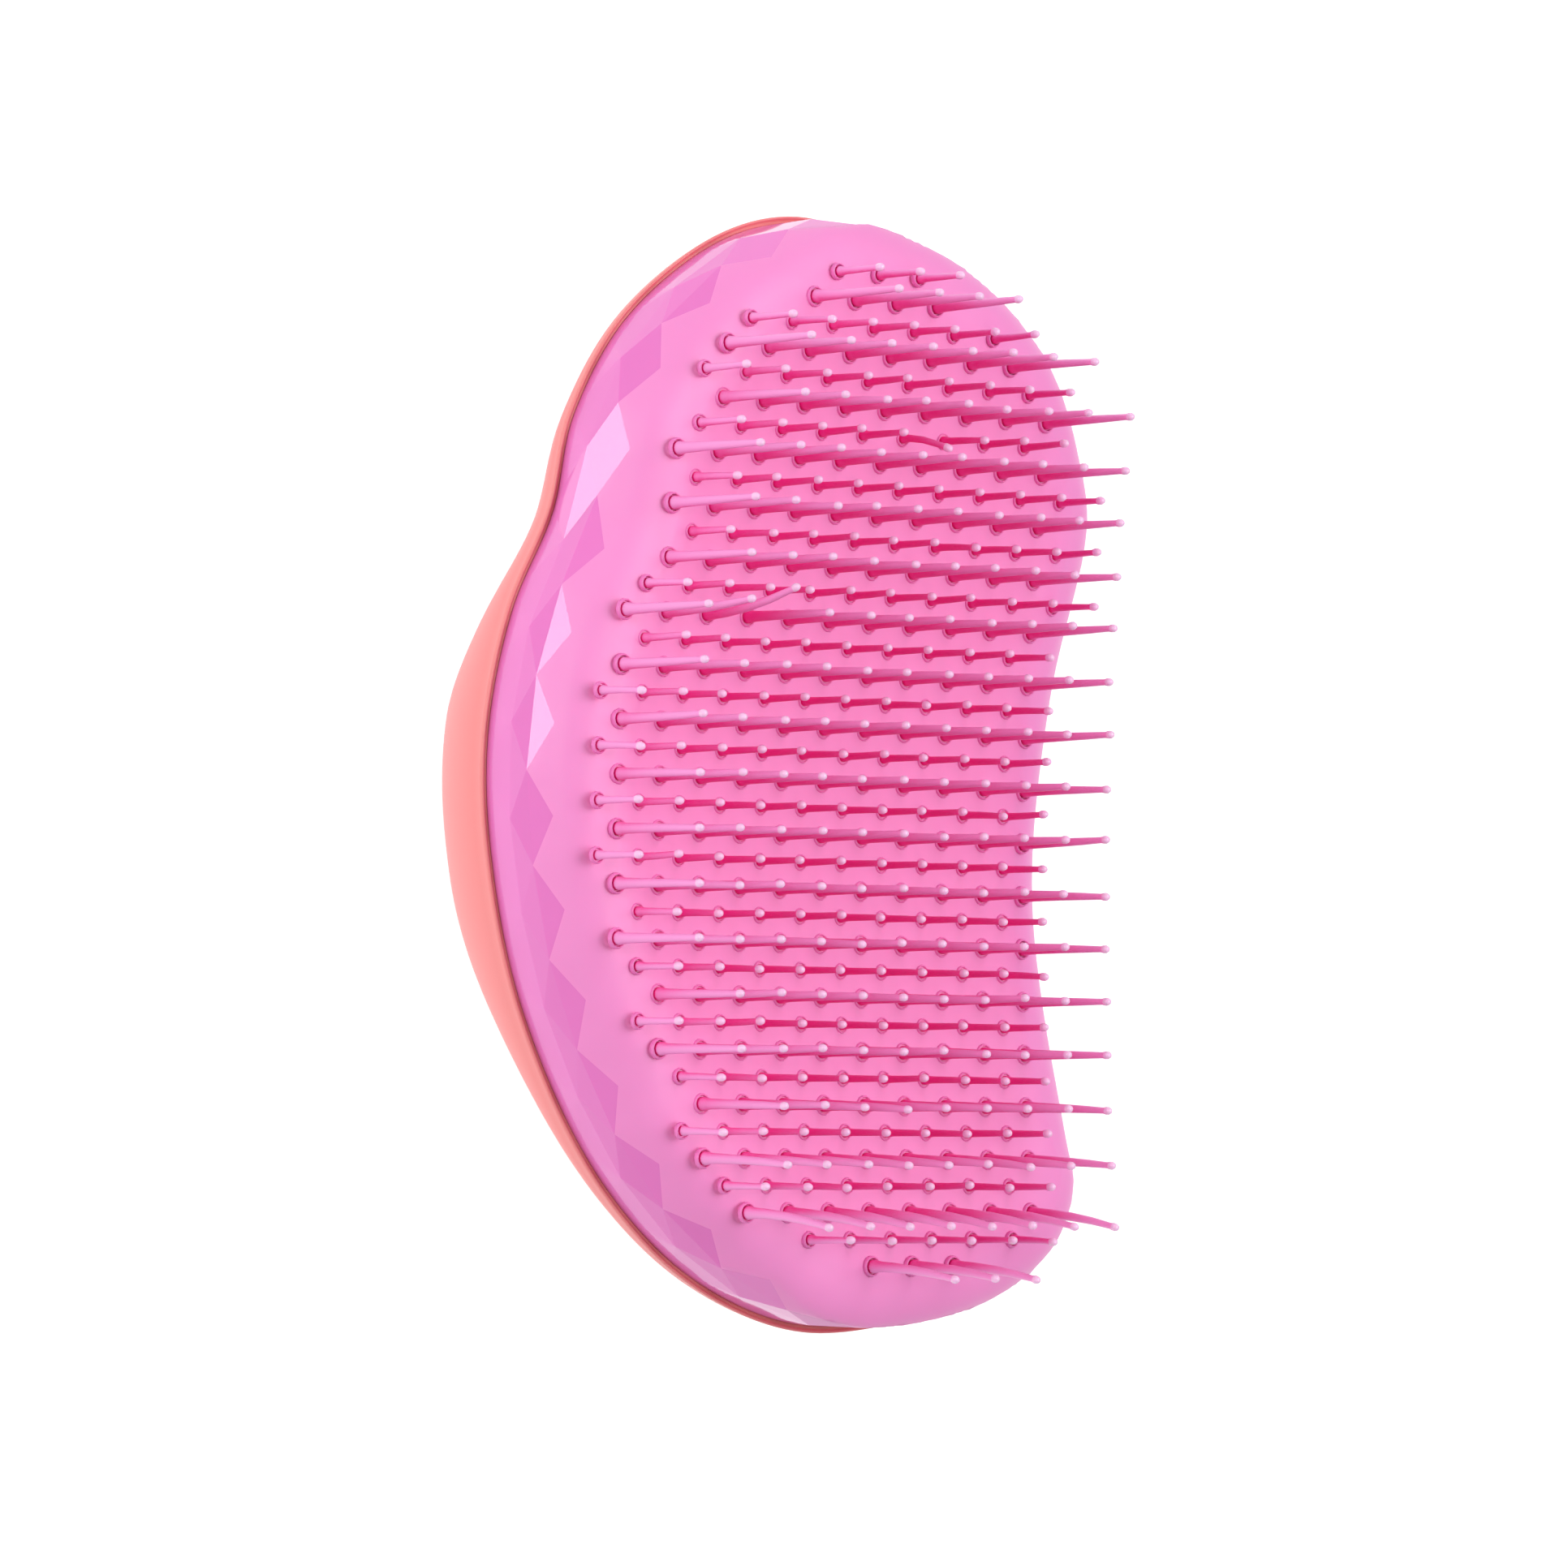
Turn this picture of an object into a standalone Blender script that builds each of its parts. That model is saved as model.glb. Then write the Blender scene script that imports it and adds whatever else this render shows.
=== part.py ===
"""Palm-held two-tier detangling brush, lying on its back with the bristles up.

X runs across the brush, Y along it and Z up, along the bristles. The origin is
under the middle of the brush, at the level of the flat on the crest of its
back. The coral back shell is a hollow dome, the pink bristle pad is a tray that
sits on the shell's rim, and each row of bristles is a comb of its own that
flexes about its root line.
"""
import bisect
import bmesh
import bpy
from mathutils import Matrix, Vector
from mathutils.geometry import interpolate_bezier
import math

MM = 0.001

# Plan of the brush at its seam: points from the front tip round by -X and back
PLAN = [
    (-2.0, 57.2), (-12.7, 54.1), (-23.0, 46.0), (-28.7, 35.8), (-30.4, 25.9),
    (-35.0, 15.6), (-37.4, 3.4), (-36.7, -8.8), (-33.0, -23.6), (-25.6, -38.2),
    (-16.8, -48.1), (-7.0, -54.1), (4.0, -57.0), (16.4, -56.2), (26.0, -53.5),
    (33.0, -49.2), (36.5, -43.0), (35.7, -36.4), (31.8, -12.6), (33.6, 8.6),
    (37.4, 25.9), (35.2, 35.4), (29.7, 44.6), (20.0, 51.7), (9.5, 55.6),
]
FACET_COUNT = 32            # diamonds round the skirt
RIM_POINTS = 2 * FACET_COUNT
FACET_PHASE = 0.55          # shift of the diamonds, in diamonds

# Heights over the flat on the back
FACE_Z = 34.5 * MM          # bristle face, at its lowest
FACE_LOW_Y = -9.2 * MM      # place of its lowest along the brush
FACE_RADIUS = 365 * MM      # hollow of the face along the brush
SKIRT_HEIGHT = 10.0 * MM    # face down to the seam
SEAM_GAP = 0.3 * MM

# Back shell
SHELL_WALL = 2.6 * MM       # at the crest
CREST_RADIUS = 8.0 * MM     # flat on the crest
CREST_Y = -3.0 * MM
DOME_POWER = 1.8            # fullness of the dome, 2 for an ellipse
LOBE_DEPTH = 0.11           # least depth of the back, against the crest
FRONT_SLOPE = 17.5 * MM     # run of the hump's flank towards the front
REAR_SLOPE = 31.0 * MM      # run of the hump's flank towards the rear
DOME_STEPS = 8
TONGUE_OUTER = 3.3 * MM     # locating tongue inside the pad's skirt
TONGUE_INNER = 4.5 * MM
TONGUE_HEIGHT = 2.0 * MM
TONGUE_FOOT = 0.2 * MM      # its inner side, carried on under the seam

# Bristle pad: inset from the seam and height under the face of each level
SKIRT_LEVELS = [(0.0, 10.0), (0.2, 6.9), (0.9, 4.9), (1.9, 2.9)]
SHOULDER_LEVELS = [(3.4, 1.9), (5.4, 1.3), (8.0, 1.1)]
SKIRT_LEAN = 1.9            # lean of the skirt on the -X side, lost towards +X
UPRIGHT_FROM = -12.0 * MM   # the skirt leans fully up to here
UPRIGHT_TO = 4.0 * MM       # and stands upright from here on
PAD_WALL = 1.8 * MM
FACET_RELIEF = 0.25 * MM
FACE_RINGS = [0.75, 0.5, 0.25]

# Bristle field: rows half a column apart from their neighbours
COLUMN_PITCH = 5.62 * MM
ROW_PITCH = 2.76 * MM       # along the face
FIELD_X = -1.0 * MM         # column 5
FIELD_Y = 0.5 * MM          # half way between the middle rows
MIDDLE_COLUMN = 5
LONG_ROWS = [
    (4, 7), (2, 9), (2, 10), (1, 10), (1, 10), (1, 10), (0, 10), (0, 10), (0, 10), (0, 10),
    (0, 10), (0, 10), (0, 10), (1, 10), (1, 10), (2, 10), (2, 10), (3, 10), (6, 8),
]
SHORT_ROWS = [
    (4.5, 6.5), (2.5, 8.5), (1.5, 9.5), (1.5, 9.5), (1.5, 10.5), (1.5, 10.5), (0.5, 10.5),
    (0.5, 9.5), (-0.5, 9.5), (-0.5, 9.5), (-0.5, 9.5), (-0.5, 9.5), (0.5, 9.5), (0.5, 9.5),
    (0.5, 9.5), (1.5, 9.5), (1.5, 9.5), (2.5, 9.5), (4.5, 9.5),
]
LONG_BRISTLE = 12.9 * MM
LONG_ROOT = 0.72 * MM       # radius at the face
LONG_TIP = 0.40 * MM
SHORT_BRISTLE = 6.7 * MM
SHORT_ROOT = 0.55 * MM
SHORT_TIP = 0.36 * MM
BRISTLE_SIDES = 6
STRIP_HEIGHT = 0.6 * MM     # root strip under the face
STRIP_WIDTH = 1.6 * MM
STRIP_END = 0.9 * MM        # strip past its end bristles
ROOT_DEPTH = 0.3 * MM       # hinge line under the face

CORAL = (0.93, 0.27, 0.26, 1)
PINK = (0.90, 0.24, 0.58, 1)


def smooth_plan():
    """The plan as a closed smooth curve of many short steps."""
    knots = [Vector((x, y)) * MM for x, y in PLAN]
    points = []
    for i, start in enumerate(knots):
        end = knots[(i + 1) % len(knots)]
        start_handle = start + (end - knots[i - 1]) / 6
        end_handle = end - (knots[(i + 2) % len(knots)] - start) / 6
        points += interpolate_bezier(start, start_handle, end_handle, end, 25)[:-1]
    return points


def upright_share(x):
    """How far the skirt stands up instead of leaning in, from 0 to 1."""
    share = min(1.0, max(0.0, (x - UPRIGHT_FROM) / (UPRIGHT_TO - UPRIGHT_FROM)))
    return share * share * (3 - 2 * share)


def even_stations():
    """Equally spaced places round the plan, with inward normals and upright shares."""
    plan = smooth_plan()
    closed = plan + plan[:1]
    reach = [0.0]
    for here, there in zip(closed, closed[1:]):
        reach.append(reach[-1] + (there - here).length)
    stations = []
    for i in range(RIM_POINTS):
        goal = (i / RIM_POINTS + FACET_PHASE / FACET_COUNT) % 1 * reach[-1]
        segment = min(bisect.bisect_right(reach, goal), len(plan)) - 1
        here, there = closed[segment], closed[segment + 1]
        share = (goal - reach[segment]) / (reach[segment + 1] - reach[segment])
        along = (there - here).normalized()
        place = here.lerp(there, share)
        stations.append((place, Vector((-along.y, along.x)), upright_share(place.x)))
    return stations


STATIONS = even_stations()


def face_height(y):
    """Height of the hollow bristle face at y."""
    return FACE_Z + (y - FACE_LOW_Y) ** 2 / (2 * FACE_RADIUS)


def row_y(step):
    """Place along the brush of a row, by its number of steps from the front row."""
    from_middle = (len(LONG_ROWS) - 0.5 - step) * ROW_PITCH
    middle = math.asin((FIELD_Y - FACE_LOW_Y) / FACE_RADIUS)
    return FACE_LOW_Y + FACE_RADIUS * math.sin(middle + from_middle / FACE_RADIUS)


def level_ring(inset, below_face, lean=0.0):
    """A ring round the brush, inset from the plan, at a depth under the face.

    The lean is the part of the inset that is lost where the skirt stands upright.
    """
    ring = []
    for place, inward, upright in STATIONS:
        x, y = place + inward * (inset - lean * upright)
        ring.append(Vector((x, y, face_height(y) - below_face)))
    return ring


def pad_ring(inset, depth, wall=0.0, drop=0.0):
    """A ring of the pad from a level in millimetres, moved in and down for its inside."""
    lean = min(inset, SKIRT_LEAN) * MM
    return level_ring(inset * MM + wall, depth * MM + drop, lean)


def hump(y):
    """Depth of the back at y, as a share of its depth at the crest."""
    beyond = max(0.0, abs(y - CREST_Y) - CREST_RADIUS)
    slope = FRONT_SLOPE if y > CREST_Y else REAR_SLOPE
    return LOBE_DEPTH + (1 - LOBE_DEPTH) / (1 + (beyond / slope) ** 2)


def dome_rings(rim, floor):
    """Rings of a dome from its rim down to the flat disc at its crest."""
    rings = []
    for step in range(DOME_STEPS + 1):
        spread = math.cos(math.pi / 2 * step / DOME_STEPS)
        fall = (1 - spread ** DOME_POWER) ** (1 / DOME_POWER)
        ring = []
        for point in rim:
            heading = Vector((point.x, point.y - CREST_Y)).normalized()
            x, y = Vector((0, CREST_Y)) + heading * CREST_RADIUS
            x += (point.x - x) * spread
            y += (point.y - y) * spread
            top = point.z - face_height(point.y) + face_height(y)
            ring.append(Vector((x, y, top - (top - floor) * hump(y) * fall)))
        rings.append(ring)
    return rings


def quad_band(mesh, lower, upper):
    """Faces between two rings of equal count."""
    for i in range(len(lower)):
        j = (i + 1) % len(lower)
        mesh.faces.new((lower[i], lower[j], upper[j], upper[i]))


def facet_band(mesh, lower, upper, peak):
    """Triangles between two rings whose corners are staggered; peak is 0 or 1."""
    for i in range(len(lower)):
        j = (i + 1) % len(lower)
        if i % 2 == peak:
            mesh.faces.new((lower[i], lower[j], upper[i]))
            mesh.faces.new((lower[j], upper[j], upper[i]))
        else:
            mesh.faces.new((lower[i], lower[j], upper[j]))
            mesh.faces.new((lower[i], upper[j], upper[i]))


def corner_ring(ring, corner):
    """Keep every second point of a ring and pull the others onto the chords between."""
    drawn = list(ring)
    for i in range(len(ring)):
        if i % 2 != corner:
            drawn[i] = (ring[i - 1] + ring[(i + 1) % len(ring)]) / 2
    return drawn


def add_ring(mesh, ring):
    return [mesh.verts.new(point) for point in ring]


def finish_object(mesh, name, material, collection, origin=Vector((0, 0, 0))):
    """Turn a bmesh into a named object with its origin at a chosen place."""
    bmesh.ops.recalc_face_normals(mesh, faces=mesh.faces[:])
    bmesh.ops.translate(mesh, verts=mesh.verts[:], vec=-origin)
    data = bpy.data.meshes.new(name)
    mesh.to_mesh(data)
    mesh.free()
    data.materials.append(material)
    made = bpy.data.objects.new(name, data)
    made.location = origin
    collection.objects.link(made)
    return made


def make_material(name, colour, roughness):
    material = bpy.data.materials.new(name)
    material.use_nodes = True
    surface = material.node_tree.nodes["Principled BSDF"]
    surface.inputs["Base Color"].default_value = colour
    surface.inputs["Roughness"].default_value = roughness
    return material


def make_collection(name):
    collection = bpy.data.collections.new(name)
    bpy.context.scene.collection.children.link(collection)
    return collection


def make_back_shell(material, collection):
    """Hollow palm shell: an outer dome, a rim with a locating tongue, an inner dome."""
    seam = SKIRT_HEIGHT + SEAM_GAP
    outer = dome_rings(level_ring(0.0, seam), 0.0)
    tongue = [
        level_ring(TONGUE_OUTER, seam),
        level_ring(TONGUE_OUTER, seam - TONGUE_HEIGHT),
        level_ring(TONGUE_INNER, seam - TONGUE_HEIGHT),
    ]
    inner = dome_rings(level_ring(TONGUE_INNER, seam + TONGUE_FOOT), SHELL_WALL)
    mesh = bmesh.new()
    rings = [add_ring(mesh, ring) for ring in outer[::-1] + tongue + inner]
    for lower, upper in zip(rings, rings[1:]):
        quad_band(mesh, lower, upper)
    mesh.faces.new(rings[0])
    mesh.faces.new(rings[-1])
    return finish_object(mesh, "back_shell", material, collection)


def make_bristle_pad(material, collection):
    """Tray with a hollow face and a skirt of diamond facets, open underneath."""
    skirt = []
    for level, (inset, depth) in enumerate(SKIRT_LEVELS):
        ring = pad_ring(inset, depth, -FACET_RELIEF if level else 0.0)
        skirt.append(corner_ring(ring, level % 2) if level else ring)
    shoulder = [pad_ring(inset, depth) for inset, depth in SHOULDER_LEVELS]
    lining = [pad_ring(inset, depth, PAD_WALL, PAD_WALL if level > 2 else 0.0)
              for level, (inset, depth) in enumerate(SKIRT_LEVELS + SHOULDER_LEVELS)]

    mesh = bmesh.new()
    outside = [add_ring(mesh, ring) for ring in skirt + shoulder]
    inside = [add_ring(mesh, ring) for ring in lining]
    for level in range(3):
        facet_band(mesh, outside[level], outside[level + 1], (level + 1) % 2)
    for rings in (outside[3:], inside):
        for lower, upper in zip(rings, rings[1:]):
            quad_band(mesh, lower, upper)
        close_face(mesh, rings[-1])
    quad_band(mesh, inside[0], outside[0])
    return finish_object(mesh, "bristle_pad", material, collection)


def close_face(mesh, edge):
    """Fill a ring with narrower rings that follow the hollow of the face."""
    below_face = face_height(edge[0].co.y) - edge[0].co.z
    last = edge
    for share in FACE_RINGS:
        ring = []
        for vert in edge:
            x, y = vert.co.x * share, vert.co.y * share
            ring.append(mesh.verts.new((x, y, face_height(y) - below_face)))
        quad_band(mesh, last, ring)
        last = ring
    centre = mesh.verts.new((0, 0, face_height(0) - below_face))
    for i in range(len(last)):
        mesh.faces.new((last[i], last[(i + 1) % len(last)], centre))


def make_bristle_row(name, y, columns, length, root, tip, material, parts, cutters):
    """A root strip with a row of tapered bristles, its origin on its flexing line."""
    first, last = columns
    places = [FIELD_X + (first + i - MIDDLE_COLUMN) * COLUMN_PITCH
              for i in range(int(last - first) + 1)]
    face = face_height(y)
    origin = Vector((FIELD_X, y, face - ROOT_DEPTH))

    bristles = bmesh.new()
    depth = length + ROOT_DEPTH
    for x in places:
        middle = Matrix.Translation((x, y, face - ROOT_DEPTH + depth / 2))
        bmesh.ops.create_cone(bristles, cap_ends=True, segments=BRISTLE_SIDES,
                              radius1=root, radius2=tip, depth=depth, matrix=middle)
    comb = finish_object(bristles, name + "_bristles", material, cutters, origin)
    comb.hide_render = True
    comb.display_type = "WIRE"

    strip = bmesh.new()
    span = places[-1] - places[0] + 2 * STRIP_END
    middle = Vector(((places[0] + places[-1]) / 2, y, face - STRIP_HEIGHT / 2))
    size = Matrix.Diagonal((span, STRIP_WIDTH, STRIP_HEIGHT, 1))
    bmesh.ops.create_cube(strip, size=1, matrix=Matrix.Translation(middle) @ size)
    row = finish_object(strip, name, material, parts, origin)
    union = row.modifiers.new("Bristles", "BOOLEAN")
    union.operation = "UNION"
    union.object = comb
    return row


def main():
    for old in list(bpy.data.objects):
        bpy.data.objects.remove(old)
    parts = make_collection("paddle_brush")
    cutters = make_collection("cutters")
    coral = make_material("coral_satin_plastic", CORAL, 0.42)
    pink = make_material("pink_plastic", PINK, 0.4)

    make_back_shell(coral, parts)
    make_bristle_pad(pink, parts)
    for i, (short, long) in enumerate(zip(SHORT_ROWS, LONG_ROWS)):
        make_bristle_row(f"short_bristle_row_{i + 1:02d}", row_y(2 * i), short,
                         SHORT_BRISTLE, SHORT_ROOT, SHORT_TIP, pink, parts, cutters)
        make_bristle_row(f"long_bristle_row_{i + 1:02d}", row_y(2 * i + 1), long,
                         LONG_BRISTLE, LONG_ROOT, LONG_TIP, pink, parts, cutters)


main()
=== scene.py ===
"""Looks of the palm-held detangling brush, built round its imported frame.

The coral shell, the pink pad and every row of bristles are remade here at full
smoothness, over the frame's own plan and heights. Lengths are in metres, written
with MM, except in the tables whose comments say millimetres.
"""
import bisect
import bmesh
import bpy
import math
import random
from mathutils import Matrix, Vector
from mathutils.geometry import interpolate_bezier


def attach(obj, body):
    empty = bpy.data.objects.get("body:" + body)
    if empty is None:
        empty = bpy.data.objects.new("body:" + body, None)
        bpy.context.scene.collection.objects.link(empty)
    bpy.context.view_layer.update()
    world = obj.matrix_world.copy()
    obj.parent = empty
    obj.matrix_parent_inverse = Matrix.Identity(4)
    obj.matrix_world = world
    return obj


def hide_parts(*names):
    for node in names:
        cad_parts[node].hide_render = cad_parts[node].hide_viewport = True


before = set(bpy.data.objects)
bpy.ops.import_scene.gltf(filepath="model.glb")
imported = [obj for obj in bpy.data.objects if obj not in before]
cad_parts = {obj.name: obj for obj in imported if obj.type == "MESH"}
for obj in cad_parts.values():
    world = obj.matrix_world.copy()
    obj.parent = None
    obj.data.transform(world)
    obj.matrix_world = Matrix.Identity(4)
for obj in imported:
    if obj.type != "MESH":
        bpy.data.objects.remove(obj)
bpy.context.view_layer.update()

MM = 0.001

# Plan of the brush at its seam, in millimetres: from the front tip round by -X and back
PLAN = [
    (-2.0, 57.2), (-12.7, 54.1), (-23.0, 46.0), (-28.7, 35.8), (-30.4, 25.9),
    (-35.0, 15.6), (-37.4, 3.4), (-36.7, -8.8), (-33.0, -23.6), (-25.6, -38.2),
    (-16.8, -48.1), (-7.0, -54.1), (4.0, -57.0), (16.4, -56.2), (26.0, -53.5),
    (33.0, -49.2), (36.5, -43.0), (35.7, -36.4), (31.8, -12.6), (33.6, 8.6),
    (37.4, 25.9), (35.2, 35.4), (29.7, 44.6), (20.0, 51.7), (9.5, 55.6),
]
PLAN_STEPS = 24             # short steps between two points of the plan
FACET_COUNT = 32
FACET_PHASE = 0.55          # shift of the facets round the plan, in facets
FACET_STEPS = 8             # stations to a facet
HALF_FACET = FACET_STEPS // 2

FACE_Z = 34.5 * MM          # bristle face, at its lowest
FACE_LOW_Y = -9.2 * MM      # place of its lowest along the brush
FACE_RADIUS = 365 * MM      # hollow of the face along the brush
FACE_DISH = 0.8 * MM        # lift of the face at its sides
FACE_HALF_WIDTH = 33 * MM

CREST_RADIUS = 8.0 * MM     # flat on the back's crest
CREST_Y = -3.0 * MM
DOME_POWER = 1.8            # fullness of the back from side to side; 2 is round
LOBE_DEPTH = 0.11           # depth of its shallow ends, as a share of the crest's
FRONT_SLOPE = 17.5 * MM     # from the flat to half way down to the front end's depth
REAR_SLOPE = 31.0 * MM      # and to the rear end's
DOME_STEPS = 30

# Outside of the pad, in millimetres: inset from the plan and depth under the face
PAD_PROFILE = [
    (0.24, 10.42), (0.04, 6.8), (0.78, 4.85), (2.35, 2.8), (3.7, 1.6), (5.6, 0.7), (8.2, 0.1),
]
PAD_ROWS = 14               # rows of faces from the facets up to the face
FACE_RINGS = 12
SHOULDER_EASE = 4           # how soon the shoulder leaves the facets' straight edges
# Inside of the pad, from the seam up to the middle of its ceiling, in the same terms
PAD_LINING = [
    (0.34, 10.6), (0.7, 10.9), (2.0, 10.9), (2.0, 8.0), (2.2, 6.0), (5.0, 4.6), (8.0, 3.0),
]
SKIRT_LEAN = 2.35           # the skirt's lean on the -X side, in millimetres
UPRIGHT_FROM = -12.0 * MM   # the skirt leans fully up to here
UPRIGHT_TO = 4.0 * MM       # and stands upright from here on to +X
SOFTEN = 14                 # stations over which the shoulder's direction is evened out

# Rim of the shell, in the same terms: a raised bead, a ledge down to the pad and the
# tongue inside it
SHELL_RIM = [
    (-0.3, 11.2), (-0.42, 10.85), (-0.48, 10.55), (-0.44, 10.36), (-0.34, 10.28),
    (-0.24, 10.32), (-0.14, 10.5), (0.0, 10.58), (0.14, 10.5), (0.22, 10.47), (0.3, 10.56),
    (0.32, 11.0), (0.8, 11.2), (3.3, 11.2), (3.4, 8.5), (4.5, 8.5), (4.6, 10.6),
]
SHELL_WALL = 2.6 * MM

# Bristle field, as the frame has it
COLUMN_PITCH = 5.62 * MM
ROW_PITCH = 2.76 * MM       # along the face
FIELD_X = -1.0 * MM         # middle of the field
FIELD_Y = 0.5 * MM
MIDDLE_COLUMN = 5
# First and last column of each row, from the front; the short rows' lie half way between
LONG_ROWS = [
    (4, 7), (2, 9), (2, 10), (1, 10), (1, 10), (1, 10), (0, 10), (0, 10), (0, 10), (0, 10),
    (0, 10), (0, 10), (0, 10), (1, 10), (1, 10), (2, 10), (2, 10), (3, 10), (6, 8),
]
SHORT_ROWS = [
    (4.5, 6.5), (2.5, 8.5), (1.5, 9.5), (1.5, 9.5), (1.5, 10.5), (1.5, 10.5), (0.5, 10.5),
    (0.5, 9.5), (-0.5, 9.5), (-0.5, 9.5), (-0.5, 9.5), (-0.5, 9.5), (0.5, 9.5), (0.5, 9.5),
    (0.5, 9.5), (1.5, 9.5), (1.5, 9.5), (2.5, 9.5), (4.5, 9.5),
]
# Bristle outlines, in millimetres: height over the face and radius
LONG_SHAFT = [
    (-0.25, 0.72), (0.3, 0.72), (0.65, 0.63), (1.2, 0.57), (3.0, 0.52), (6.0, 0.46), (9.0, 0.40),
    (11.8, 0.33), (12.2, 0.42), (12.52, 0.42), (12.78, 0.30), (12.87, 0.15),
]
LONG_LENGTH = 12.9
SHORT_SHAFT = [
    (-0.25, 0.54), (0.25, 0.54), (0.55, 0.45), (1.1, 0.39), (3.0, 0.36), (5.5, 0.31),
    (5.9, 0.42), (6.25, 0.43), (6.56, 0.31), (6.66, 0.15),
]
SHORT_LENGTH = 6.7
SHAFT_SIDES = 14
# The pale tip bands carry a painted highlight
TIP_BANDS = 3               # bands of the outline that make the pale tip
# Rings round the bristles' feet, in millimetres: height and radius, out and over and in
LONG_FOOT = [(-0.3, 1.12), (0.0, 1.08), (0.16, 1.0), (0.16, 0.93), (0.0, 0.86), (-0.3, 0.84)]
SHORT_FOOT = [(-0.3, 0.92), (0.0, 0.88), (0.14, 0.81), (0.14, 0.75), (0.0, 0.69), (-0.3, 0.67)]
WOBBLE = 0.10               # random lean of a bristle's tip, in millimetres
WOBBLE_SEED = 7
# Bristles that have taken a set: lean of the tip along X and Y, in millimetres, by row
# and column
LONG_SETS = {
    16: {"all": (0.0, -0.2)},
    17: {"all": (0.0, -0.5)},
    18: {"all": (0.0, -1.3)},
    19: {"all": (0.0, -1.2)},
    7: {1: (0.3, 1.0), 2: (1.0, 2.4)},
}
SHORT_SETS = {4: {6.5: (0.9, -1.4)}}

# Slots of a piece with two materials
SLOT_FACETS, SLOT_FACE = 0, 1
SLOT_SHAFT, SLOT_TIP = 0, 1

# Base colours, linear
CORAL = (0.90, 0.25, 0.25, 1)
PINK = (0.93, 0.29, 0.64, 1)
# The pad's pink, darker and more violet on the facets: painted shade for the darker things they
# reflect
FACET_PINK_PAINTED_SHADE = (0.86, 0.22, 0.60, 1)
# The pad's pink made darker on the feet: painted shade round each bristle's foot
FOOT_PINK_PAINTED_SHADE = (0.90, 0.22, 0.56, 1)
# Bristle colours with painted shade and painted light: deep where neighbours crowd round, light
# where they stand open
BRISTLE_PAINTED_SHADE = (0.93, 0.002, 0.27, 1)
BRISTLE_PAINTED_LIT = (0.97, 0.33, 0.70, 1)
# Pale tip colour: a painted highlight of the light caught in the bristles' tips
TIP_PAINTED_HIGHLIGHT = (0.98, 0.56, 0.82, 1)

# Painted shade of the bristles: their colour is darkened where neighbours stand close round them
SHADE_REACH = 14 * MM       # how far round it a bristle looks for its neighbours
SHADE_SAMPLES = 8
SHADE_DEEP = 0.38           # share of open sky where the colour is deepest
SHADE_OPEN = 0.66           # and where it is lightest

# Skin of every plastic
GLOW_RADIUS = (1.0, 0.35, 0.6)      # spread of scattered light by colour
GLOW_SCALE = 1.2 * MM
DRIFT_SCALE = 45                    # size of the faint drift of colour and polish
DRIFT_DETAIL = 3
POLISH_DRIFT = 0.15                 # drift of the roughness, as a share of it
GRAIN_DETAIL = 2
GRAIN_DEPTH = 0.02 * MM

# Camera: turned about Y to the brush's -X side, then two small trims
CAMERA_AIM = (-1.0 * MM, 0.4 * MM, 34.6 * MM)
CAMERA_SIDE = math.radians(42)
CAMERA_PITCH = math.radians(-2.11)
CAMERA_ROLL = math.radians(-0.58)
CAMERA_DISTANCE = 0.935
CAMERA_SLIDE = (3.94 * MM, 1.31 * MM)
CAMERA_LENS = 209.1         # in millimetres, as the sensor
CAMERA_SENSOR = 36

# Floor and room
FLOOR_HALF_WIDTH = 3.0
FLOOR_GREY = 0.3
FLOOR_ROUGHNESS = 0.7
FLOOR_GLOW = 0.93
ROOM_LIGHT = 0.23


# ---------------------------------------------------------------- shape rules

def smooth_plan():
    """The plan as a closed smooth curve of many short steps."""
    knots = [Vector((x, y)) * MM for x, y in PLAN]
    points = []
    for i, start in enumerate(knots):
        end = knots[(i + 1) % len(knots)]
        start_handle = start + (end - knots[i - 1]) / 6
        end_handle = end - (knots[(i + 2) % len(knots)] - start) / 6
        points += interpolate_bezier(start, start_handle, end_handle, end,
                                     PLAN_STEPS + 1)[:-1]
    return points


def even_stations(count, shift):
    """Places round the plan, equally far apart, with their inward normals."""
    plan = smooth_plan()
    closed = plan + plan[:1]
    reach = [0.0]
    for here, there in zip(closed, closed[1:]):
        reach.append(reach[-1] + (there - here).length)
    step = reach[-1] / count
    stations = []
    for i in range(count):
        goal = (i + shift) % count * step
        segment = min(bisect.bisect_right(reach, goal), len(plan)) - 1
        here, there = closed[segment], closed[segment + 1]
        share = (goal - reach[segment]) / (reach[segment + 1] - reach[segment])
        before, after = closed[segment - 1], closed[(segment + 2) % len(plan)]
        along = (there - before).lerp(after - here, share).normalized()
        stations.append((here.lerp(there, share), Vector((-along.y, along.x))))
    return stations


def evened_normals():
    """The stations' inward normals, each averaged with its neighbours'."""
    evened = []
    for i in range(STATION_COUNT):
        total = Vector((0, 0))
        for j in range(-SOFTEN, SOFTEN + 1):
            total += STATIONS[(i + j) % STATION_COUNT][1]
        evened.append(total / (2 * SOFTEN + 1))
    return evened


STATION_COUNT = FACET_COUNT * FACET_STEPS
STATIONS = even_stations(STATION_COUNT, FACET_PHASE * FACET_STEPS)
EVENED = evened_normals()


def face_level(y):
    """Height of the bristle face at y, without its dish."""
    return FACE_Z + (y - FACE_LOW_Y) ** 2 / (2 * FACE_RADIUS)


def face_height(x, y):
    """Height of the bristle face, hollow along the brush and a little across it."""
    return face_level(y) + FACE_DISH * (x / FACE_HALF_WIDTH) ** 2


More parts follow.
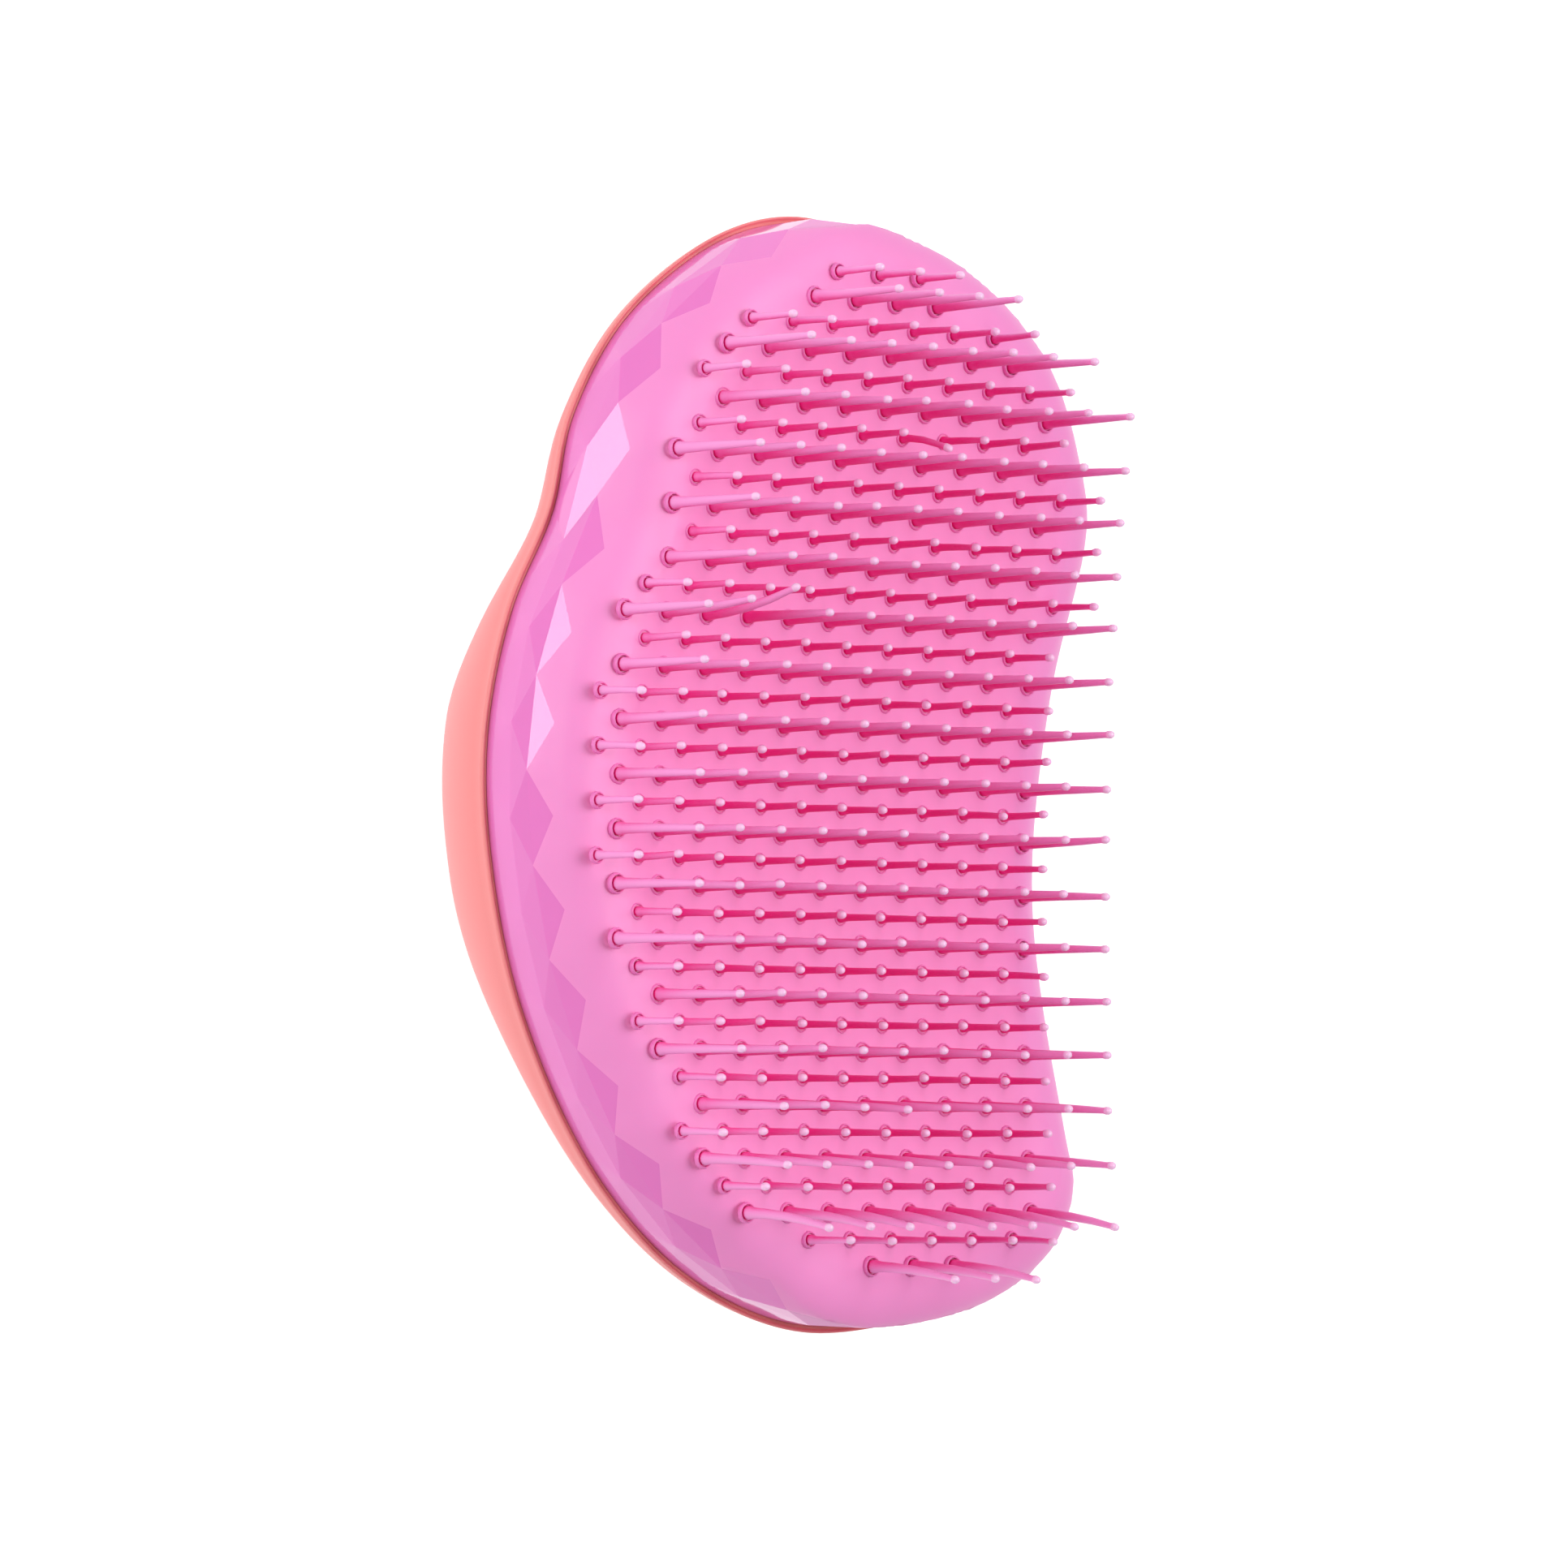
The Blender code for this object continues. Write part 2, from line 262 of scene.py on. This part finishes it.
def catmull(points, t):
    """Point at t on the smooth curve through the points, one unit to a span."""
    i = min(int(t), len(points) - 2)
    f = t - i
    a = Vector(points[max(i - 1, 0)])
    b = Vector(points[i])
    c = Vector(points[i + 1])
    d = Vector(points[min(i + 2, len(points) - 1)])
    return 0.5 * (2 * b + (c - a) * f + (2 * a - 5 * b + 4 * c - d) * f * f
                  + (3 * b - a - 3 * c + d) * f ** 3)


def upright_share(x):
    """How far the skirt stands up instead of leaning in, from 0 to 1."""
    share = min(1.0, max(0.0, (x - UPRIGHT_FROM) / (UPRIGHT_TO - UPRIGHT_FROM)))
    return share * share * (3 - 2 * share)


def at_level(station, inset, depth):
    """Point at a station, inset from the plan and under the level of the face, in mm."""
    place, inward = STATIONS[station % STATION_COUNT]
    evened = EVENED[station % STATION_COUNT]
    near = min(inset, SKIRT_LEAN)
    x, y = place + (inward * near + evened * (inset - near)) * MM
    return Vector((x, y, face_level(y) - depth * MM))


def level_ring(inset, depth):
    return [at_level(i, inset, depth) for i in range(STATION_COUNT)]


def pad_point(station, t):
    """Point on the pad's outside at a station; t is its place on the pad's profile."""
    inset, depth = catmull(PAD_PROFILE, t)
    place, inward = STATIONS[station % STATION_COUNT]
    lean = max(0.0, min(inset, SKIRT_LEAN) - PAD_PROFILE[0][0])
    point = at_level(station, inset, depth)
    shift = inward * lean * upright_share(place.x) * MM
    point.x -= shift.x
    point.y -= shift.y
    dish = FACE_DISH * (point.x / FACE_HALF_WIDTH) ** 2
    share = max(0.0, (t - 3) / (len(PAD_PROFILE) - 4))
    point.z += dish * min(1.0, share)
    return point


def hump(y):
    """Depth of the back at y, as a share of its depth at the crest."""
    beyond = max(0.0, abs(y - CREST_Y) - CREST_RADIUS)
    slope = FRONT_SLOPE if y > CREST_Y else REAR_SLOPE
    return LOBE_DEPTH + (1 - LOBE_DEPTH) / (1 + (beyond / slope) ** 2)


def dome_rings(rim, floor):
    """Rings of a dome from its rim down to the flat disc at its crest."""
    rings = []
    for step in range(DOME_STEPS + 1):
        spread = math.cos(math.pi / 2 * step / DOME_STEPS)
        fall = (1 - spread ** DOME_POWER) ** (1 / DOME_POWER)
        ring = []
        for point in rim:
            heading = Vector((point.x, point.y - CREST_Y)).normalized()
            x, y = Vector((0, CREST_Y)) + heading * CREST_RADIUS
            x += (point.x - x) * spread
            y += (point.y - y) * spread
            top = point.z - face_level(point.y) + face_level(y)
            ring.append(Vector((x, y, top - (top - floor) * hump(y) * fall)))
        rings.append(ring)
    return rings


# ---------------------------------------------------------------- mesh helpers

def add_ring(mesh, ring):
    return [mesh.verts.new(point) for point in ring]


def quad_band(mesh, lower, upper, material=0):
    """Smooth faces between two closed rings of equal count."""
    for i in range(len(lower)):
        j = (i + 1) % len(lower)
        face = mesh.faces.new((lower[i], lower[j], upper[j], upper[i]))
        face.smooth = True
        face.material_index = material


def cap(mesh, ring, centre, material=0):
    """Close a ring with a fan to a centre point."""
    tip = mesh.verts.new(centre)
    for i in range(len(ring)):
        face = mesh.faces.new((ring[i], ring[(i + 1) % len(ring)], tip))
        face.smooth = True
        face.material_index = material


def finish_piece(mesh, name, body, nodes, materials):
    """Turn a bmesh into a piece that rides on a body and stands for its CAD nodes."""
    bmesh.ops.recalc_face_normals(mesh, faces=mesh.faces[:])
    data = bpy.data.meshes.new(name)
    mesh.to_mesh(data)
    mesh.free()
    for material in materials:
        data.materials.append(material)
    piece = bpy.data.objects.new(name, data)
    bpy.context.scene.collection.objects.link(piece)
    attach(piece, body)
    if nodes:
        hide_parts(*nodes)


# ---------------------------------------------------------------- shell and pad

def make_shell(material):
    """Coral palm shell: outer dome, beaded rim, tongue and inner dome, one closed wall."""
    rim = [level_ring(inset, depth) for inset, depth in SHELL_RIM]
    outer = dome_rings(rim[0], 0.0)
    inner = dome_rings(rim[-1], SHELL_WALL)
    mesh = bmesh.new()
    rings = [add_ring(mesh, ring) for ring in outer[::-1] + rim[1:-1] + inner]
    for lower, upper in zip(rings, rings[1:]):
        quad_band(mesh, lower, upper)
    cap(mesh, rings[0], (0, CREST_Y, 0.0))
    cap(mesh, rings[-1], (0, CREST_Y, SHELL_WALL))
    finish_piece(mesh, "shell_skin", "handle", ["back_shell"], [material])


def add_corners(mesh):
    """Corners of the facets: low and high ones half way along, middle ones between."""
    corner = {}
    for k in range(FACET_COUNT):
        start = k * FACET_STEPS
        corner["low", k] = mesh.verts.new(pad_point(start + HALF_FACET, 1))
        corner["middle", k] = mesh.verts.new(pad_point(start, 2))
        corner["high", k] = mesh.verts.new(pad_point(start + HALF_FACET, 3))
    return corner


def add_zigzag(mesh, corner):
    """The edge where the shoulder comes down between the upper facets."""
    zigzag = []
    for i in range(STATION_COUNT):
        k, step = divmod(i, FACET_STEPS)
        share = abs(step - HALF_FACET) / HALF_FACET
        middle = corner["middle", k if step <= HALF_FACET else (k + 1) % FACET_COUNT]
        high = corner["high", k]
        if share == 1:
            zigzag.append(middle)
        elif share == 0:
            zigzag.append(high)
        else:
            zigzag.append(mesh.verts.new(high.co.lerp(middle.co, share)))
    return zigzag


def add_facets(mesh, corner, seam, zigzag):
    """Flat facets from the seam up to the zigzag."""
    def facet(*verts):
        mesh.faces.new(verts).material_index = SLOT_FACETS

    for k in range(FACET_COUNT):
        before, after = (k - 1) % FACET_COUNT, (k + 1) % FACET_COUNT
        start = k * FACET_STEPS
        for i in range(start, start + FACET_STEPS):
            facet(seam[i], seam[(i + 1) % STATION_COUNT], corner["low", k])
        facet(corner["low", before], seam[start], corner["low", k])
        facet(corner["low", before], corner["low", k], corner["middle", k])
        facet(corner["middle", k], corner["low", k], corner["middle", after])
        upper = [zigzag[(start + i) % STATION_COUNT] for i in range(FACET_STEPS, -1, -1)]
        facet(*upper)


def add_shoulder(mesh, zigzag):
    """Smooth shoulder from the zigzag up the profile, eased from chords onto the curve."""
    top = len(PAD_PROFILE) - 1
    starts = [3 - abs(i % FACET_STEPS - HALF_FACET) / HALF_FACET for i in range(STATION_COUNT)]
    slips = [vert.co - pad_point(i, starts[i]) for i, vert in enumerate(zigzag)]
    last = zigzag
    for row in range(1, PAD_ROWS + 1):
        share = row / PAD_ROWS
        ring = []
        for i in range(STATION_COUNT):
            t = starts[i] + (top - starts[i]) * share
            point = pad_point(i, t) + slips[i] * (1 - share) ** SHOULDER_EASE
            ring.append(mesh.verts.new(point))
        quad_band(mesh, last, ring, SLOT_FACE)
        last = ring
    return last


def add_face(mesh, rim):
    """Hollow face, from the top of the shoulder in to the middle."""
    edge = [vert.co.copy() for vert in rim]
    last = rim
    for ring_number in range(1, FACE_RINGS):
        share = 1 - ring_number / FACE_RINGS
        lift = PAD_PROFILE[-1][1] * MM * share
        ring = []
        for point in edge:
            x, y = point.x * share, point.y * share
            ring.append(mesh.verts.new((x, y, face_height(x, y) - lift)))
        quad_band(mesh, last, ring, SLOT_FACE)
        last = ring
    cap(mesh, last, (0, 0, face_height(0, 0)), SLOT_FACE)


def make_pad(facet_material, face_material):
    """Pink pad: flat facets round the skirt, a smooth shoulder and a hollow face."""
    mesh = bmesh.new()
    corner = add_corners(mesh)
    seam = add_ring(mesh, [pad_point(i, 0) for i in range(STATION_COUNT)])
    zigzag = add_zigzag(mesh, corner)
    add_facets(mesh, corner, seam, zigzag)
    add_face(mesh, add_shoulder(mesh, zigzag))
    lining = [add_ring(mesh, level_ring(inset, depth)) for inset, depth in PAD_LINING]
    for lower, upper in zip([seam] + lining, lining):
        quad_band(mesh, lower, upper, SLOT_FACE)
    cap(mesh, lining[-1], (0, 0, FACE_Z - PAD_LINING[-1][1] * MM), SLOT_FACE)
    finish_piece(mesh, "pad_skin", "handle", ["bristle_pad"],
                 [facet_material, face_material])


# ---------------------------------------------------------------- bristles

def row_y(number, is_long):
    """Place along the brush of a row; number 1 is nearest the front."""
    step = 2 * number - (1 if is_long else 2)
    from_middle = (len(LONG_ROWS) - 0.5 - step) * ROW_PITCH
    middle = math.asin((FIELD_Y - FACE_LOW_Y) / FACE_RADIUS)
    return FACE_LOW_Y + FACE_RADIUS * math.sin(middle + from_middle / FACE_RADIUS)


def row_places(columns):
    """Columns of a row, each with its place across the brush."""
    first, last = columns
    return [(first + i, FIELD_X + (first + i - MIDDLE_COLUMN) * COLUMN_PITCH)
            for i in range(int(last - first) + 1)]


def turned(mesh, outline, foot, length, lean):
    """A round pin from its outline, its axis bending evenly towards the lean of its tip."""
    rings = []
    for height, radius in outline:
        share = max(0.0, height) / length
        centre = foot + Vector((lean.x * share ** 2, lean.y * share ** 2, height)) * MM
        axis = Vector((2 * lean.x * share, 2 * lean.y * share, length)).normalized()
        across = axis.cross(Vector((0, 1, 0))).normalized()
        side = axis.cross(across)
        ring = []
        for i in range(SHAFT_SIDES):
            angle = 2 * math.pi * i / SHAFT_SIDES
            out = across * math.cos(angle) + side * math.sin(angle)
            ring.append(centre + out * radius * MM)
        rings.append(add_ring(mesh, ring))
    first_tip_band = len(rings) - 1 - TIP_BANDS
    for i, (lower, upper) in enumerate(zip(rings, rings[1:])):
        quad_band(mesh, lower, upper, SLOT_TIP if i >= first_tip_band else SLOT_SHAFT)
    cap(mesh, rings[-1], foot + Vector((lean.x, lean.y, length)) * MM, SLOT_TIP)
    cap(mesh, rings[0], foot + Vector((0, 0, outline[0][0])) * MM, SLOT_SHAFT)


def make_row(number, is_long, materials, chance):
    """One row of bristles, which rides on its own hinge."""
    kind = "long" if is_long else "short"
    columns = (LONG_ROWS if is_long else SHORT_ROWS)[number - 1]
    sets = (LONG_SETS if is_long else SHORT_SETS).get(number, {})
    outline = LONG_SHAFT if is_long else SHORT_SHAFT
    length = LONG_LENGTH if is_long else SHORT_LENGTH
    y = row_y(number, is_long)
    mesh = bmesh.new()
    for column, x in row_places(columns):
        lean = Vector(sets.get(column, sets.get("all", (0, 0))))
        lean += Vector((chance.gauss(0, WOBBLE), chance.gauss(0, WOBBLE)))
        foot = Vector((x, y, face_height(x, y)))
        turned(mesh, outline, foot, length, lean)
    name = f"{kind}_row_{number:02d}"
    finish_piece(mesh, name + "_skin", name, [f"{kind}_bristle_row_{number:02d}"],
                 materials)


def foot_ring(mesh, outline, foot):
    """A low closed ring round a bristle's foot, from its outline."""
    rings = []
    for height, radius in outline:
        ring = []
        for i in range(SHAFT_SIDES):
            angle = 2 * math.pi * i / SHAFT_SIDES
            ring.append(foot + Vector((math.cos(angle) * radius, math.sin(angle) * radius,
                                       height)) * MM)
        rings.append(add_ring(mesh, ring))
    for lower, upper in zip(rings, rings[1:] + rings[:1]):
        quad_band(mesh, lower, upper)


def make_feet(material):
    """The low ring round the foot of every bristle, which stays with the pad."""
    mesh = bmesh.new()
    kinds = ((True, LONG_ROWS, LONG_FOOT), (False, SHORT_ROWS, SHORT_FOOT))
    for is_long, rows, outline in kinds:
        for number, columns in enumerate(rows, 1):
            y = row_y(number, is_long)
            for _, x in row_places(columns):
                foot_ring(mesh, outline, Vector((x, y, face_height(x, y))))
    finish_piece(mesh, "bristle_feet", "handle", [], [material])


# ---------------------------------------------------------------- materials

def plastic(name, colour, roughness, subsurface, grain, grain_strength, shift):
    """Moulded plastic: fine grain in its skin and a faint drift of colour and polish."""
    material = bpy.data.materials.new(name)
    material.use_nodes = True
    nodes, links = material.node_tree.nodes, material.node_tree.links
    surface = nodes["Principled BSDF"]
    surface.inputs["Subsurface Weight"].default_value = subsurface
    surface.inputs["Subsurface Radius"].default_value = GLOW_RADIUS
    surface.inputs["Subsurface Scale"].default_value = GLOW_SCALE

    place = nodes.new("ShaderNodeTexCoord")
    drift = nodes.new("ShaderNodeTexNoise")
    drift.inputs["Scale"].default_value = DRIFT_SCALE
    drift.inputs["Detail"].default_value = DRIFT_DETAIL
    links.new(place.outputs["Object"], drift.inputs["Vector"])
    tint = nodes.new("ShaderNodeMix")
    tint.data_type = "RGBA"
    tint.inputs["A"].default_value = tuple(c * (1 - shift) for c in colour[:3]) + (1,)
    tint.inputs["B"].default_value = tuple(min(1, c * (1 + shift)) for c in colour[:3]) + (1,)
    links.new(drift.outputs["Fac"], tint.inputs["Factor"])
    links.new(tint.outputs["Result"], surface.inputs["Base Color"])

    polish = nodes.new("ShaderNodeMapRange")
    polish.inputs["To Min"].default_value = roughness * (1 - POLISH_DRIFT)
    polish.inputs["To Max"].default_value = roughness * (1 + POLISH_DRIFT)
    links.new(drift.outputs["Fac"], polish.inputs["Value"])
    links.new(polish.outputs["Result"], surface.inputs["Roughness"])

    skin = nodes.new("ShaderNodeTexNoise")
    skin.inputs["Scale"].default_value = grain
    skin.inputs["Detail"].default_value = GRAIN_DETAIL
    links.new(place.outputs["Object"], skin.inputs["Vector"])
    bump = nodes.new("ShaderNodeBump")
    bump.inputs["Strength"].default_value = grain_strength
    bump.inputs["Distance"].default_value = GRAIN_DEPTH
    links.new(skin.outputs["Fac"], bump.inputs["Height"])
    links.new(bump.outputs["Normal"], surface.inputs["Normal"])
    return material


def paint_shade_among_neighbours(material, shade_colour):
    """Paint shade into a plastic's colour: darker where its neighbours stand close round it."""
    nodes, links = material.node_tree.nodes, material.node_tree.links
    surface = nodes["Principled BSDF"]
    open_colour = surface.inputs["Base Color"].links[0].from_socket
    shade = nodes.new("ShaderNodeAmbientOcclusion")
    shade.samples = SHADE_SAMPLES
    shade.inputs["Distance"].default_value = SHADE_REACH
    depth = nodes.new("ShaderNodeMapRange")
    depth.inputs["From Min"].default_value = SHADE_DEEP
    depth.inputs["From Max"].default_value = SHADE_OPEN
    links.new(shade.outputs["AO"], depth.inputs["Value"])
    mix = nodes.new("ShaderNodeMix")
    mix.data_type = "RGBA"
    mix.inputs["A"].default_value = shade_colour
    links.new(open_colour, mix.inputs["B"])
    links.new(depth.outputs["Result"], mix.inputs["Factor"])
    links.new(mix.outputs["Result"], surface.inputs["Base Color"])


def make_floor():
    """Plain pale floor that glows a little, so that it stays even to the edges."""
    mesh = bmesh.new()
    bmesh.ops.create_grid(mesh, x_segments=1, y_segments=1, size=FLOOR_HALF_WIDTH)
    data = bpy.data.meshes.new("floor")
    mesh.to_mesh(data)
    mesh.free()
    material = bpy.data.materials.new("pale_floor")
    material.use_nodes = True
    surface = material.node_tree.nodes["Principled BSDF"]
    surface.inputs["Base Color"].default_value = (FLOOR_GREY, FLOOR_GREY, FLOOR_GREY, 1)
    surface.inputs["Roughness"].default_value = FLOOR_ROUGHNESS
    surface.inputs["Emission Color"].default_value = (1, 1, 1, 1)
    surface.inputs["Emission Strength"].default_value = FLOOR_GLOW
    data.materials.append(material)
    floor = bpy.data.objects.new("floor", data)
    bpy.context.scene.collection.objects.link(floor)


# ---------------------------------------------------------------- camera and light

def add_camera():
    turn = (Matrix.Rotation(CAMERA_ROLL, 3, "Z") @ Matrix.Rotation(CAMERA_PITCH, 3, "X")
            @ Matrix.Rotation(CAMERA_SIDE, 3, "Y")).transposed()
    offset = Vector((-CAMERA_SLIDE[0], -CAMERA_SLIDE[1], CAMERA_DISTANCE))
    place = Vector(CAMERA_AIM) + turn @ offset
    data = bpy.data.cameras.new("camera")
    data.lens = CAMERA_LENS
    data.sensor_width = CAMERA_SENSOR
    camera = bpy.data.objects.new("camera", data)
    camera.matrix_world = Matrix.Translation(place) @ turn.to_4x4()
    bpy.context.scene.collection.objects.link(camera)
    bpy.context.scene.camera = camera


def add_softbox(name, azimuth, elevation, distance, width, height, power):
    """A rectangular light aimed at the brush; azimuth 0 is on the +X side, 90 at the front."""
    a, e = math.radians(azimuth), math.radians(elevation)
    away = Vector((math.cos(a) * math.cos(e), math.sin(a) * math.cos(e), math.sin(e)))
    data = bpy.data.lights.new(name, "AREA")
    data.shape = "RECTANGLE"
    data.size = width
    data.size_y = height
    data.energy = power
    light = bpy.data.objects.new(name, data)
    light.location = Vector((0, 0, FACE_Z)) + away * distance
    light.rotation_euler = away.to_track_quat("Z", "Y").to_euler()
    bpy.context.scene.collection.objects.link(light)


def add_world(strength):
    world = bpy.data.worlds.new("studio")
    world.use_nodes = True
    sky = world.node_tree.nodes["Background"]
    sky.inputs["Color"].default_value = (1, 1, 1, 1)
    sky.inputs["Strength"].default_value = strength
    bpy.context.scene.world = world


# ---------------------------------------------------------------- the scene

chance = random.Random(WOBBLE_SEED)
coral = plastic("coral_satin", CORAL, roughness=0.40, subsurface=0.15,
                grain=1500, grain_strength=0.25, shift=0.03)
# The facets' colour is the pad's pink with painted shade
facets = plastic("pink_polished", FACET_PINK_PAINTED_SHADE, roughness=0.09, subsurface=0.15,
                 grain=2500, grain_strength=0.10, shift=0.03)
facet_surface = facets.node_tree.nodes["Principled BSDF"]
facet_surface.inputs["Coat Weight"].default_value = 0.3
facet_surface.inputs["Specular IOR Level"].default_value = 0.4
face = plastic("pink_satin", PINK, roughness=0.46, subsurface=0.15,
               grain=2500, grain_strength=0.30, shift=0.03)
# The feet's darker pink is painted shade round the bristles' feet
feet = plastic("pink_feet_painted_shade", FOOT_PINK_PAINTED_SHADE, roughness=0.40, subsurface=0.15,
               grain=2500, grain_strength=0.10, shift=0.03)
# Bristles: their colour carries painted shade between close neighbours and painted light where
# they stand open
soft = plastic("pink_soft_painted_shade", BRISTLE_PAINTED_LIT, roughness=0.34, subsurface=0.0,
               grain=2500, grain_strength=0.10, shift=0.04)
paint_shade_among_neighbours(soft, BRISTLE_PAINTED_SHADE)
soft.node_tree.nodes["Principled BSDF"].inputs["Specular IOR Level"].default_value = 0.25
# The tips' pale colour is a painted highlight
tips = plastic("pink_tips_painted_highlight", TIP_PAINTED_HIGHLIGHT, roughness=0.26, subsurface=0.30,
               grain=2500, grain_strength=0.10, shift=0.04)

make_shell(coral)
make_pad(facets, face)
make_feet(feet)
for number in range(1, len(LONG_ROWS) + 1):
    make_row(number, False, [soft, tips], chance)
    make_row(number, True, [soft, tips], chance)

make_floor()
add_camera()
add_world(ROOM_LIGHT)
add_softbox("key_softbox", azimuth=45, elevation=78, distance=0.8,
            width=0.6, height=0.6, power=5.6)
add_softbox("side_softbox", azimuth=167, elevation=13, distance=0.7,
            width=0.36, height=0.19, power=1.55)
bpy.context.scene.view_settings.view_transform = "Standard"
